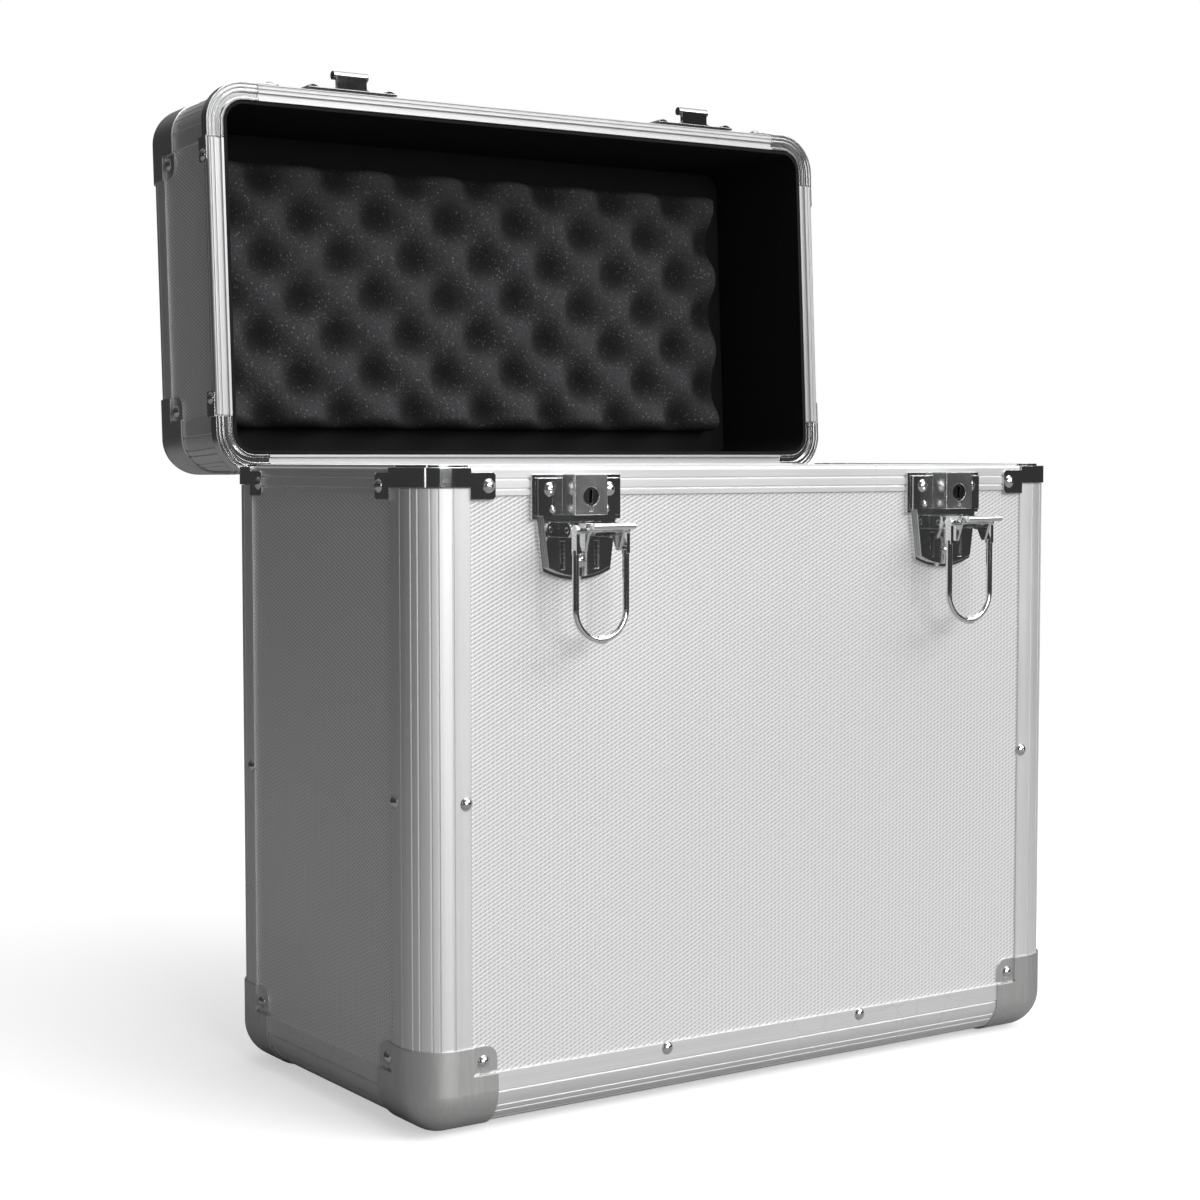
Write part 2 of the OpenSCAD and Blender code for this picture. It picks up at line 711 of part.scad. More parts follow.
module lever(s) {
    top = pin_r + 1;
    lip_w = 2 * (loop_half - wire_r) - 1.6;
    color("whitesmoke") at_latch(s) translate([0, -pivot_out, -pivot_drop]) {
        difference() {
            for (side = SIDES) translate([side * (lever_w - lever_t) / 2 + lever_t / 2, 0, 0])
                rotate([90, 0, -90]) linear_extrude(lever_t) flange_outline();
            for (out = [0, -loop_throw]) translate([0, out, 0]) rotate([0, 90, 0])
                cylinder(r = pin_r + pin_clear, h = 2 * lever_w, center = true);
        }
        translate([0, 0, top]) linear_extrude(lever_t)
            polygon([[-lever_w / 2, pin_r + 1.8], [lever_w / 2, pin_r + 1.8],
                     [lever_w / 2, -lever_l + 7], [lip_w / 2, -lever_l],
                     [-lip_w / 2, -lever_l], [-lever_w / 2, -lever_l + 7]]);
        translate([0, -lever_l, top + lever_t - 1.4]) rotate([0, 90, 0])
            cylinder(r = 1.4, h = lip_w, center = true);
    }
}

// Arm straps, wire, closing bend and crimp of a loop, hanging from its pivot
module loop(s) {
    strap_t = 1.6;
    strap_l = 10;
    straight = loop_l - loop_half;
    // The bend is drawn a hair thinner than the legs it runs into
    bend_step = 0.04;
    bend_lap = 0.3;
    color("whitesmoke") at_latch(s) translate([0, -pivot_out - loop_throw, -pivot_drop]) {
        for (side = SIDES) {
            translate([side * loop_half, 0, 0]) rotate([0, 90, 0])
                cylinder(r = pin_r + 1.2, h = strap_t, center = true);
            translate([side * loop_half - strap_t / 2, -pin_r - 0.8, -strap_l])
                cube([strap_t, 2 * pin_r + 1.6, strap_l]);
            translate([side * loop_half, 0, -straight - bend_lap])
                cylinder(r = wire_r + bend_step, h = straight - strap_l + 2);
            translate([side * (loop_half + lever_w / 2 - lever_t - 1) / 2, 0, 0]) rotate([0, 90, 0])
                cylinder(r = pin_r, h = loop_half - lever_w / 2 + lever_t + 1, center = true);
        }
        translate([0, 0, -straight]) rotate([90, 0, 0]) rotate(180)
            rotate_extrude(angle = 180) translate([loop_half, 0]) circle(wire_r, $fn = 32);
        translate([0, 0, -loop_l]) rotate([0, 90, 0]) cylinder(r = nub_r, h = 2 * nub_r, center = true);
    }
}

module latch_pins() {
    color("silver") for (s = SIDES) at_latch(s) translate([0, -pivot_out, -pivot_drop])
        rotate([0, 90, 0]) cylinder(r = pin_r, h = 2 * (ear_x + latch_t), center = true);
}

// ---------- catches on the lid ----------

// Neck and rolled lip of the hook, x up the lid and y outward
roll_p = hook_p + wire_r + hook_clear + hook_roll_r;

module catch(s) {
    plate = 1.2;
    base = lid_rim_proud + clip_t / 2;
    bead_r = 4.2;
    bead_rise = 1.6;
    bead_half = 3.4;
    color("lightgray") in_lid() translate([s * (half_w - latch_in), -half_d, seam_z]) {
        // Base plate over the rim, with side walls down to the panel
        translate([-catch_w / 2, -base - plate, 0.6]) cube([catch_w, plate, catch_h]);
        for (side = SIDES) translate([side * (catch_w - plate) / 2 - plate / 2, -base - plate, lid_band_h + butt_clear])
            cube([plate, base + plate + rail_proud, catch_h + 0.6 - lid_band_h - butt_clear]);
        translate([-catch_w / 2, -base - plate, catch_h + 0.6 - plate])
            cube([catch_w, base + plate + rail_proud, plate]);
        // Low beads pressed up at both ends
        for (side = SIDES) translate([side * (catch_w / 2 - bead_half), -base - plate, catch_h / 2 + 0.6])
            intersection() {
                translate([0, bead_r - bead_rise, 0]) cylinder(r = bead_r, h = catch_h - 2, center = true);
                translate([-2 * bead_r, -2 * bead_r, -catch_h])
                    cube([4 * bead_r, 2 * bead_r + plate / 2, 2 * catch_h]);
            }
        // Neck, tapered up to where the loop lies, and rolled lip
        root = hook_neck_w / 2 + 5;
        taper_p = hook_p - wire_r - hook_clear;
        translate([0, 0, hook_v]) linear_extrude(hook_t) polygon([
            [-root, -base], [root, -base], [hook_neck_w / 2, -taper_p], [hook_neck_w / 2, -roll_p],
            [-hook_neck_w / 2, -roll_p], [-hook_neck_w / 2, -taper_p]]);
        translate([0, -roll_p, hook_v + hook_roll_r]) rotate([0, 90, 0]) difference() {
            cylinder(r = hook_roll_r, h = hook_w, center = true);
            cylinder(r = hook_roll_r - hook_t, h = hook_w + 1, center = true);
        }
    }
}

// ---------- hinges ----------

knuckle = hinge_l / 3;
knuckle_gap = 0.3;

module at_hinge(s) translate([s * hinge_x, hinge_y, hinge_z]) children();

module barrel(x0, x1, bore) {
    translate([x0, 0, 0]) rotate([0, 90, 0]) difference() {
        cylinder(r = barrel_r, h = x1 - x0);
        translate([0, 0, -1]) cylinder(r = bore, h = x1 - x0 + 2);
    }
}

module hinge_body_leaves() {
    color("lightgray") for (s = SIDES) at_hinge(s) {
        for (side = SIDES) {
            x0 = side < 0 ? -hinge_l / 2 : knuckle / 2 + knuckle_gap;
            x1 = side < 0 ? -knuckle / 2 - knuckle_gap : hinge_l / 2;
            barrel(x0, x1, hinge_pin_r);
            // Web from the barrel down to the leaf
            translate([x0, -hinge_out, -barrel_r - leaf_t]) difference() {
                cube([x1 - x0, hinge_out, barrel_r + leaf_t]);
                translate([-1, hinge_out, barrel_r + leaf_t]) rotate([0, 90, 0])
                    cylinder(r = barrel_r - 0.4, h = knuckle + 2);
            }
        }
        // Leaf on the rim band and, below it, down to the panel
        translate([-hinge_l / 2, -hinge_out, -leaf_h - barrel_r])
            cube([hinge_l, leaf_t, leaf_h]);
        translate([-hinge_l / 2, -hinge_out - rail_proud, -leaf_h - barrel_r])
            cube([hinge_l, rail_proud + leaf_t, leaf_h + barrel_r + hinge_drop - body_band_h - butt_clear]);
    }
}

module hinge_lid_leaves() {
    // Heights above the pin at which the leaf passes the lid rim and meets the panel
    rim_top = hinge_drop + rim_gap + lid_band_h + butt_clear;
    rim_face = lid_rim_proud - hinge_out + 0.1;
    color("lightgray") in_lid() for (s = SIDES) at_hinge(s) {
        barrel(-knuckle / 2, knuckle / 2, hinge_pin_r + pin_clear);
        // Arm up the outside of the rim band
        difference() {
            translate([-knuckle / 2, rim_face, 0]) cube([knuckle, leaf_t + 0.6, rim_top + leaf_t]);
            translate([-knuckle, 0, 0]) rotate([0, 90, 0]) cylinder(r = barrel_r - 0.4, h = 2 * knuckle);
        }
        translate([-hinge_l / 2, rim_face, rim_top - lid_band_h])
            cube([hinge_l, leaf_t + 0.6, lid_band_h + leaf_t]);
        // Shelf over the band and leaf on the panel
        translate([-hinge_l / 2, -hinge_out - rail_proud, rim_top])
            cube([hinge_l, hinge_out + rail_proud + rim_face + leaf_t, leaf_t]);
        translate([-hinge_l / 2, -hinge_out - rail_proud, rim_top]) cube([hinge_l, leaf_t, leaf_h]);
    }
}

module hinge_pins() {
    color("silver") for (s = SIDES) at_hinge(s) rotate([0, 90, 0])
        cylinder(r = hinge_pin_r, h = hinge_l, center = true);
}

// ---------- handle ----------

// The handle hangs straight down while the lid is open
hang = open_angle - 90;
bracket_l = 26;
bracket_w = 18;

module at_handle() {
    in_lid() translate([0, 0, lid_z - rail_proud + handle_pivot]) children();
}

module handle_brackets() {
    wall = 4;
    pocket = 10.6;
    color([0.2, 0.2, 0.2]) at_handle() for (side = SIDES) {
        x = side * handle_w / 2;
        difference() {
            union() {
                translate([x - bracket_l / 2, -bracket_w / 2, -handle_pivot])
                    cube([bracket_l, bracket_w, 3]);
                for (cheek = SIDES)
                    translate([x + cheek * (pocket + wall) / 2, 0, 0]) rotate([0, 90, 0]) {
                        cylinder(r = handle_pin_r + 3, h = wall, center = true);
                        translate([0, -handle_pin_r - 3, -wall / 2])
                            cube([handle_pivot, 2 * handle_pin_r + 6, wall]);
                    }
            }
            translate([x, 0, 0]) rotate([0, 90, 0]) cylinder(r = handle_pin_r, h = bracket_l + 2, center = true);
        }
        translate([x, 0, 0]) rotate([0, 90, 0])
            cylinder(r = handle_pin_r, h = pocket + 2 * wall, center = true);
    }
}

module handle_grip() {
    arm_w = 10;
    arm_t = 10;
    color([0.15, 0.15, 0.15]) at_handle() rotate([hang, 0, 0]) {
        for (side = SIDES) difference() {
            union() {
                translate([side * handle_w / 2, 0, 0]) rotate([0, 90, 0])
                    cylinder(r = arm_t / 2, h = arm_w, center = true);
                translate([side * handle_w / 2 - arm_w / 2, 0, -arm_t / 2]) cube([arm_w, handle_reach, arm_t]);
                translate([side * handle_w / 2, handle_reach, 0]) sphere(grip_r);
            }
            translate([side * handle_w / 2, 0, 0]) rotate([0, 90, 0])
                cylinder(r = handle_pin_r + pin_clear, h = arm_w + 2, center = true);
        }
        translate([0, handle_reach, 0]) rotate([0, 90, 0]) cylinder(r = grip_r, h = handle_w, center = true);
    }
}

// ---------- rivets ----------

cap_face = cap_clear + cap_t;
rail_rivet_x = 57;
clip_rivet_x = rail_reach + clip_tab_l - 3.4;
mid_z = body_z + body_h / 2;

// Heads on the two faces of a corner: x along the face, out from it, z up
module corner_pair(x, out, z) {
    both_legs() translate([x, -out, z]) rivet_y(-1);
}

module body_rivets() {
    color("gray") {
        for (sx = SIDES, sy = SIDES) at_corner(sx, sy) {
            corner_pair(rivet_in, 0, mid_z);
            corner_pair(cap_rivet_in, cap_t - rail_proud, body_z + cap_rivet_in);
            corner_pair(clip_rivet_x, clip_t, rim_z - clip_tab_drop - clip_tab_h / 2);
        }
        for (sx = SIDES, sy = SIDES) translate([sx * rail_rivet_x, sy * half_d, body_z + rivet_in]) rivet_y(sy);
        for (s = SIDES) at_latch(s) {
            for (side = SIDES) {
                translate([side * 15.5, -shield_rise, -9.4]) rivet_y(-1);
                translate([side * 14, -shield_rise, -pivot_drop + 9]) rivet_y(-1, 1.8, 1);
            }
            translate([0, -shield_rise, -latch_drop - latch_h + 8.5]) rivet_y(-1);
        }
        for (s = SIDES) at_hinge(s) for (side = [-1, 0, 1])
            translate([side * hinge_l / 3, -hinge_out + leaf_t, -barrel_r - leaf_h * 0.65]) rivet_y(1, 2.4, 1.2);
    }
}

module lid_rivets() {
    rim_top = hinge_drop + rim_gap + lid_band_h + butt_clear;
    color("gray") in_lid() {
        for (sx = SIDES, sy = SIDES) at_corner(sx, sy) {
            corner_pair(cap_rivet_in, cap_t - rail_proud, lid_z - cap_rivet_in);
            corner_pair(clip_rivet_x, lid_rim_proud + clip_t, seam_z + 0.6 + lid_tab_h / 2);
        }
        for (s = SIDES) translate([s * (half_w - latch_in), -half_d, seam_z + catch_h - 3.4])
            for (side = SIDES) translate([side * catch_w / 4, -lid_rim_proud - clip_t / 2 - 1.2, 0])
                rivet_y(-1, 2, 1.1);
        for (s = SIDES) at_hinge(s) for (side = [-1, 0, 1])
            translate([side * hinge_l / 3, -hinge_out - rail_proud + leaf_t, rim_top + leaf_h * 0.65])
                rivet_y(1, 2.4, 1.2);
    }
}

// ---------- nodes ----------

wall_y(-1, body_panel_z0, body_panel_z1);  // body_front_panel
wall_y(1, body_panel_z0, body_panel_z1);  // body_back_panel
wall_x(-1, body_panel_z0, body_panel_z1);  // body_left_panel
wall_x(1, body_panel_z0, body_panel_z1);  // body_right_panel
flat_panel(body_z + rail_proud);  // body_bottom_panel
body_upright(-1, -1);  // body_upright_front_left
body_upright(1, -1);  // body_upright_front_right
body_upright(-1, 1);  // body_upright_back_left
body_upright(1, 1);  // body_upright_back_right
body_rail_y(-1);  // body_rail_front
body_rail_y(1);  // body_rail_back
body_rail_x(-1);  // body_rail_left
body_rail_x(1);  // body_rail_right
body_rim_y(-1);  // body_rim_front
body_rim_y(1);  // body_rim_back
body_rim_x(-1);  // body_rim_left
body_rim_x(1);  // body_rim_right
body_rim_corners();
body_steel_corners();
body_rivets();
body_lining();
feet();
in_lid() flat_panel(lid_z - panel_in);  // lid_top_panel
in_lid() wall_y(-1, lid_panel_z0, lid_panel_z1);  // lid_front_panel
in_lid() wall_y(1, lid_panel_z0, lid_panel_z1);  // lid_back_panel
in_lid() wall_x(-1, lid_panel_z0, lid_panel_z1);  // lid_left_panel
in_lid() wall_x(1, lid_panel_z0, lid_panel_z1);  // lid_right_panel
lid_uprights();
lid_rail_y(-1);  // lid_rail_front
lid_rail_y(1);  // lid_rail_back
lid_rail_x(-1);  // lid_rail_left
lid_rail_x(1);  // lid_rail_right
lid_rim_y(-1);  // lid_rim_front
lid_rim_y(1);  // lid_rim_back
lid_rim_x(-1);  // lid_rim_left
lid_rim_x(1);  // lid_rim_right
lid_rim_corners();
lid_steel_corners();
lid_rivets();
lid_lining();
lid_foam();
latch_plate(-1);  // left_latch_plate
latch_plate(1);  // right_latch_plate
lock_box(-1);  // left_lock_box
lock_box(1);  // right_lock_box
key_plug(-1);  // left_key_plug
key_plug(1);  // right_key_plug
lever(-1);  // left_lever
lever(1);  // right_lever
loop(-1);  // left_loop
loop(1);  // right_loop
latch_pins();
catch(-1);  // left_catch
catch(1);  // right_catch
hinge_body_leaves();
hinge_lid_leaves();
hinge_pins();
handle_grip();
handle_brackets();
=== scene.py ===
"""Looks of the record carrying case.

Finishes, foam pad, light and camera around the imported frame.
"""

import math

import bpy
from mathutils import Matrix, Vector


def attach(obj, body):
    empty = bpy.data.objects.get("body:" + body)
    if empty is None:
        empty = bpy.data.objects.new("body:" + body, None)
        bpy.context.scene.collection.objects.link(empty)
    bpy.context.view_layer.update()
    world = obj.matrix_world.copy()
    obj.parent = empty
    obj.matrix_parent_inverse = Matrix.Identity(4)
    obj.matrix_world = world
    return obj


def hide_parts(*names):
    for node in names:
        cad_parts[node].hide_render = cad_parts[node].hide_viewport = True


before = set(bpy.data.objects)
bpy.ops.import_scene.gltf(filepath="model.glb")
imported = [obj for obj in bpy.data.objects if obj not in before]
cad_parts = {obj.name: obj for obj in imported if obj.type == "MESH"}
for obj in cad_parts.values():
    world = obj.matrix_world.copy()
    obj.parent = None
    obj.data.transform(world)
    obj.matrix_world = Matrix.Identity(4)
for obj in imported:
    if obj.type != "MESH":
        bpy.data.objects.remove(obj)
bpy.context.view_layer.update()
MM = 0.001

# Sizes shared with the frame, in metres
HALF_DEPTH = 92.5 * MM
FLOOR_GAP = 2 * MM
BODY_HEIGHT = 286 * MM
SEAM_GAP = 0.4 * MM
LID_DEPTH = 84 * MM
HINGE_BEHIND = 3 * MM
HINGE_BELOW = 3 * MM
LINING_FACE = 7.85 * MM  # below the lid's top
OPEN_ANGLE = math.radians(93)

RIM_TOP = FLOOR_GAP + BODY_HEIGHT
LID_TOP = RIM_TOP + SEAM_GAP + LID_DEPTH
HINGE = Vector((0, HALF_DEPTH + HINGE_BEHIND, RIM_TOP - HINGE_BELOW))

# The closed lid's place, turned open about the hinge pin
OPEN_LID = (
    Matrix.Translation(HINGE)
    @ Matrix.Rotation(-OPEN_ANGLE, 4, "X")
    @ Matrix.Translation(-HINGE)
)

# Foam pad of the closed lid, in metres
FOAM_SIZE = (322.3 * MM, 137.3 * MM)
FOAM_GAP = 0.05 * MM
FOAM_BACK = LID_TOP - LINING_FACE - FOAM_GAP
FOAM_FULL = 23.5 * MM
FOAM_VALLEY = 10 * MM
FOAM_GRID = (192, 84)
WAVE_ACROSS = 44 * MM
WAVE_ALONG = 42 * MM
HOLLOW_POWER = 1.25  # above 1 makes crests broader than hollows
# Slight unevenness of the waves: reach, length and start of each sway
SWAY_ACROSS = ((1.6 * MM, 31 * MM, 0.7), (1.1 * MM, 17 * MM, 0.0))
SWAY_ALONG = ((1.8 * MM, 37 * MM, 1.9), (1.0 * MM, 15 * MM, 0.4))
EDGE_BAND = 5 * MM
EDGE_DROP = 0.35
SHARP_FROM = math.radians(50)
CREST_FULL_BELOW = 2 * MM  # under the highest point, where the painted light on the wave tops is full

# Camera fitted to the photograph, in millimetres, metres and degrees
LENS = 68.76
SENSOR_WIDTH = 36
CAMERA_PLACE = (-0.6575, -0.9258, 0.2921)
CAMERA_TURN = (90 - 3.55, 0.02, -34.07)
FAR_CLIP = 100

# Softboxes: place, width and height in metres, power in watts
CASE_MIDDLE = (0, 0.03, 0.22)
SOFTBOXES = {
    "key_softbox": ((1.95, -2.85, 2.35), (3.0, 1.7), 76),
    "front_softbox": ((-0.12, -3.2, 1.0), (1.8, 1.4), 43),
    "top_softbox": ((0.5, -0.4, 2.7), (2.2, 2.0), 24),
    "left_strip": ((-2.4, -1.7, 1.0), (0.16, 1.6), 1.6),
}

# Dome that the metal reflects: a span of direction, and the light it gives
DOME_HEIGHT = ((0.2, 0.9), (0.0, 0.8))
DOME_SIDE = ((-0.6, 0.5), (0.12, 1.0))
DOME_LEAST = 0.04

# Round floor, in metres
FLOOR_RADIUS = 2.6
FLOOR_SIDES = 96
FLOOR_INSET = 1.7
FLOOR_FADE = (0.8, 2.3)
FLOOR_GLOW = 0.5


def grey(level):
    return (level, level, level)


# Colours
BLACK, WHITE = grey(0), grey(1)
PAPER_DARK, PAPER_PALE = grey(0.84), grey(0.87)
PAPER_TO_METAL = grey(0.3)
# The last laminate colour is painted shade in the dimples of the dashes
LAMINATE, LAMINATE_SMUDGE, LAMINATE_DIMPLE_SHADE = grey(0.93), grey(0.88), grey(0.6)
ALUMINIUM_DARK, ALUMINIUM_PALE = (0.74, 0.74, 0.745), (0.90, 0.90, 0.905)
ALUMINIUM_SCRATCH = grey(0.5)
CHROME_CLEAN, CHROME_SMUDGE = (1, 1.005, 1.01), (0.86, 0.87, 0.88)
STEEL_DARK, STEEL_PALE = (0.6, 0.595, 0.59), (0.8, 0.795, 0.79)
STEEL_SCRATCH = grey(0.8)
LINING_DARK, LINING_PALE = grey(0.006), grey(0.022)
# Foam: painted shade in the hollows, painted light on the crests
FOAM_HOLLOW_SHADE, FOAM_CREST_LIGHT = (0.008, 0.008, 0.0085), (0.048, 0.048, 0.051)
# Painted glint on a few foam cells
FOAM_PAINTED_GLINT = (0.17, 0.17, 0.175)
# Painted shade in the middle of each foam pore, painted light on its walls
PORE_SHADE, PORE_WALL_LIGHT = grey(0.55), grey(1.35)
PLASTIC_CLEAN, PLASTIC_SMUDGE = (0.012, 0.012, 0.013), (0.024, 0.024, 0.025)

# Handling marks: spans of a cloudy noise that carry smudges and scratches
SMUDGED, SCRATCHED = (0.38, 0.72), (0.52, 0.66)
SCRATCH_WIDTH = 0.022
SCRATCH_BEND = grey(0.02)
BEND_SCALE = 18.0

# Drawn lines: stretch of the noise across and along the metal
RAIL_ACROSS, RAIL_ALONG = 1100.0, 9.0
CORNER_STRETCH = (700.0, 700.0, 60.0)
BAND_SCALE = 0.14
BAND_SPAN = (0.3, 0.7)

# Embossed dashes: pitch in metres, the rest in parts of it
DASH_PITCH = 2.2 * MM
DASH_SLANT = 0.48
DASH_ROW = 0.85
DASH_HALF_LENGTH, DASH_HALF_WIDTH = 0.56, 0.3
DASH_SHADE = (1.15, 0.45)
DASH_WALL = (0.2, 1.5)

# Radii that soften hard edges, in metres
RAIL_EDGE = 0.35 * MM
METAL_EDGE = 0.4 * MM
PLASTIC_EDGE = 0.6 * MM
EDGE_SAMPLES = 4


# ---------- camera, light and floor ----------


def place_camera():
    data = bpy.data.cameras.new("camera")
    data.sensor_width = SENSOR_WIDTH
    data.lens = LENS
    data.clip_end = FAR_CLIP
    camera = bpy.data.objects.new("camera", data)
    camera.location = CAMERA_PLACE
    camera.rotation_euler = [math.radians(turn) for turn in CAMERA_TURN]
    bpy.context.scene.collection.objects.link(camera)
    bpy.context.scene.camera = camera


def softbox(name, place, size, power):
    """A rectangular light that faces the middle of the case."""
    data = bpy.data.lights.new(name, "AREA")
    data.shape = "RECTANGLE"
    data.size, data.size_y = size
    data.energy = power
    light = bpy.data.objects.new(name, data)
    light.location = place
    aim = Vector(CASE_MIDDLE) - Vector(place)
    light.rotation_euler = aim.to_track_quat("-Z", "Y").to_euler()
    bpy.context.scene.collection.objects.link(light)


def light_studio():
    """Four softboxes and a dome, dark low down and at the left, white to the camera."""
    for name, (place, size, power) in SOFTBOXES.items():
        softbox(name, place, size, power)
    world = bpy.data.worlds.new("studio")
    world.use_nodes = True
    bpy.context.scene.world = world
    tree = world.node_tree
    towards = add(tree, "SeparateXYZ", Vector=add(tree, "TexCoord").outputs["Generated"])
    height = remap(tree, towards.outputs["Z"], *DOME_HEIGHT, smooth=True)
    side = remap(tree, towards.outputs["X"], *DOME_SIDE, smooth=True)
    dome = calc(tree, "MULTIPLY_ADD", height, side, DOME_LEAST)
    colour = blend_colours(tree, dome, BLACK, WHITE)
    seen = blend_colours(tree, camera_ray(tree), colour, WHITE)
    tree.links.new(seen, tree.nodes["Background"].inputs["Color"])


def lay_floor():
    """A round pale sheet that fades out into the white surroundings."""
    bpy.ops.object.select_all(action="DESELECT")
    bpy.ops.mesh.primitive_circle_add(
        vertices=FLOOR_SIDES, radius=FLOOR_RADIUS, fill_type="NGON"
    )
    floor = bpy.context.object
    floor.name = "floor"
    bpy.ops.object.mode_set(mode="EDIT")
    bpy.ops.mesh.select_all(action="SELECT")
    bpy.ops.mesh.inset(thickness=FLOOR_INSET)
    bpy.ops.object.mode_set(mode="OBJECT")
    floor.data.materials.append(floor_paper())


# ---------- node helpers ----------


def feed(tree, socket, value):
    """Links a value that is a socket, and sets any other."""
    if isinstance(value, bpy.types.NodeSocket):
        tree.links.new(value, socket)
    else:
        socket.default_value = value


def add(tree, kind, options=None, **values):
    """A shader node; i0, i1 and so on are its inputs by number, other keys by name."""
    made = tree.nodes.new("ShaderNode" + kind)
    for key, value in (options or {}).items():
        setattr(made, key, value)
    for key, value in values.items():
        which = int(key[1:]) if key[1:].isdigit() else key.replace("_", " ")
        feed(tree, made.inputs[which], value)
    return made


def calc(tree, operation, a, b=0.0, c=0.0, clamp=False):
    options = {"operation": operation, "use_clamp": clamp}
    return add(tree, "Math", options, i0=a, i1=b, i2=c).outputs[0]


def remap(tree, value, span=(0.0, 1.0), to=(0.0, 1.0), smooth=False):
    """A value taken from one span to another, and held at its ends."""
    options = {"interpolation_type": "SMOOTHSTEP"} if smooth else None
    limits = {"i1": span[0], "i2": span[1], "i3": to[0], "i4": to[1]}
    return add(tree, "MapRange", options, Value=value, **limits).outputs[0]


def blend_colours(tree, factor, a, b, way="MIX"):
    """Colour a where the factor is 0, and b where it is 1."""
    mix = add(tree, "Mix", {"data_type": "RGBA", "blend_type": way})
    for name, kind, value in (("Factor", "VALUE", factor), ("A", "RGBA", a), ("B", "RGBA", b)):
        if isinstance(value, (tuple, list)):
            value = (*value, 1)
        feed(tree, next(s for s in mix.inputs if (s.name, s.type) == (name, kind)), value)
    return next(s for s in mix.outputs if s.type == "RGBA")


def camera_ray(tree):
    """1 for what the camera sees itself, 0 for reflections and stray light."""
    return add(tree, "LightPath").outputs["Is Camera Ray"]


def relief(tree, height, strength, depth, edge=None):
    """Normal of a fine relief, over hard edges eased by a small radius."""
    bump = add(tree, "Bump", Strength=strength, Distance=depth, Height=height)
    if edge is not None:
        eased = add(tree, "Bevel", {"samples": EDGE_SAMPLES}, Radius=edge)
        tree.links.new(eased.outputs["Normal"], bump.inputs["Normal"])
    return bump.outputs[0]


def new_group(name, ins, outs):
    """An empty shared effect: its tree, its inputs by label and its output node."""
    tree = bpy.data.node_groups.new(name, "ShaderNodeTree")
    for sockets, side in ((ins, "INPUT"), (outs, "OUTPUT")):
        for label, kind in sockets.items():
            tree.interface.new_socket(label, in_out=side, socket_type="NodeSocket" + kind)
    return tree, tree.nodes.new("NodeGroupInput").outputs, tree.nodes.new("NodeGroupOutput").inputs


def use_group(tree, group, **values):
    return add(tree, "Group", {"node_tree": group}, **values).outputs


def new_finish(name):
    material = bpy.data.materials.new(name)
    material.use_nodes = True
    tree = material.node_tree
    return material, tree, add(tree, "TexCoord").outputs["Object"]


def coat(tree, **values):
    """Links or sets the sockets of the finish's own shader."""
    shader = tree.nodes["Principled BSDF"]
    for key, value in values.items():
        feed(tree, shader.inputs[key.replace("_", " ")], value)


# ---------- shared effects ----------


def handling_marks():
    """Soft smudges and fine scratches of a case that has been carried about."""
    tree, ins, outs = new_group(
        "handling marks",
        {"Vector": "Vector", "Smudge Size": "Float", "Scratch Size": "Float"},
        {"Smudges": "Float", "Scratches": "Float"},
    )
    place = ins["Vector"]
    cloud = add(
        tree, "TexNoise", Vector=place, Scale=ins["Smudge Size"], Detail=5.0, Roughness=0.6
    ).outputs["Fac"]
    tree.links.new(remap(tree, cloud, SMUDGED), outs["Smudges"])
    sway = add(tree, "TexNoise", Vector=place, Scale=BEND_SCALE, Detail=2.0).outputs["Color"]
    bent = add(
        tree, "VectorMath", {"operation": "MULTIPLY_ADD"}, i0=sway, i1=SCRATCH_BEND, i2=place
    ).outputs[0]
    cracks = add(
        tree,
        "TexVoronoi",
        {"feature": "DISTANCE_TO_EDGE"},
        Vector=bent,
        Scale=ins["Scratch Size"],
    ).outputs["Distance"]
    thin = remap(tree, cracks, (0.0, SCRATCH_WIDTH), (1.0, 0.0))
    patch = remap(tree, cloud, SCRATCHED)
    tree.links.new(calc(tree, "MULTIPLY", thin, patch, clamp=True), outs["Scratches"])
    return tree


def drawn_lines():
    """Long fine streaks left by drawing or brushing metal along one axis."""
    tree, ins, outs = new_group(
        "drawn lines",
        {"Vector": "Vector", "Stretch": "Vector"},
        {"Lines": "Float", "Bands": "Float"},
    )
    long = add(
        tree, "VectorMath", {"operation": "MULTIPLY"}, i0=ins["Vector"], i1=ins["Stretch"]
    ).outputs[0]
    fine = add(tree, "TexNoise", Vector=long, Scale=1.0, Detail=4.0, Roughness=0.65)
    tree.links.new(fine.outputs["Fac"], outs["Lines"])
    broad = add(tree, "TexNoise", Vector=long, Scale=BAND_SCALE, Detail=2.0)
    tree.links.new(broad.outputs["Fac"], outs["Bands"])
    return tree


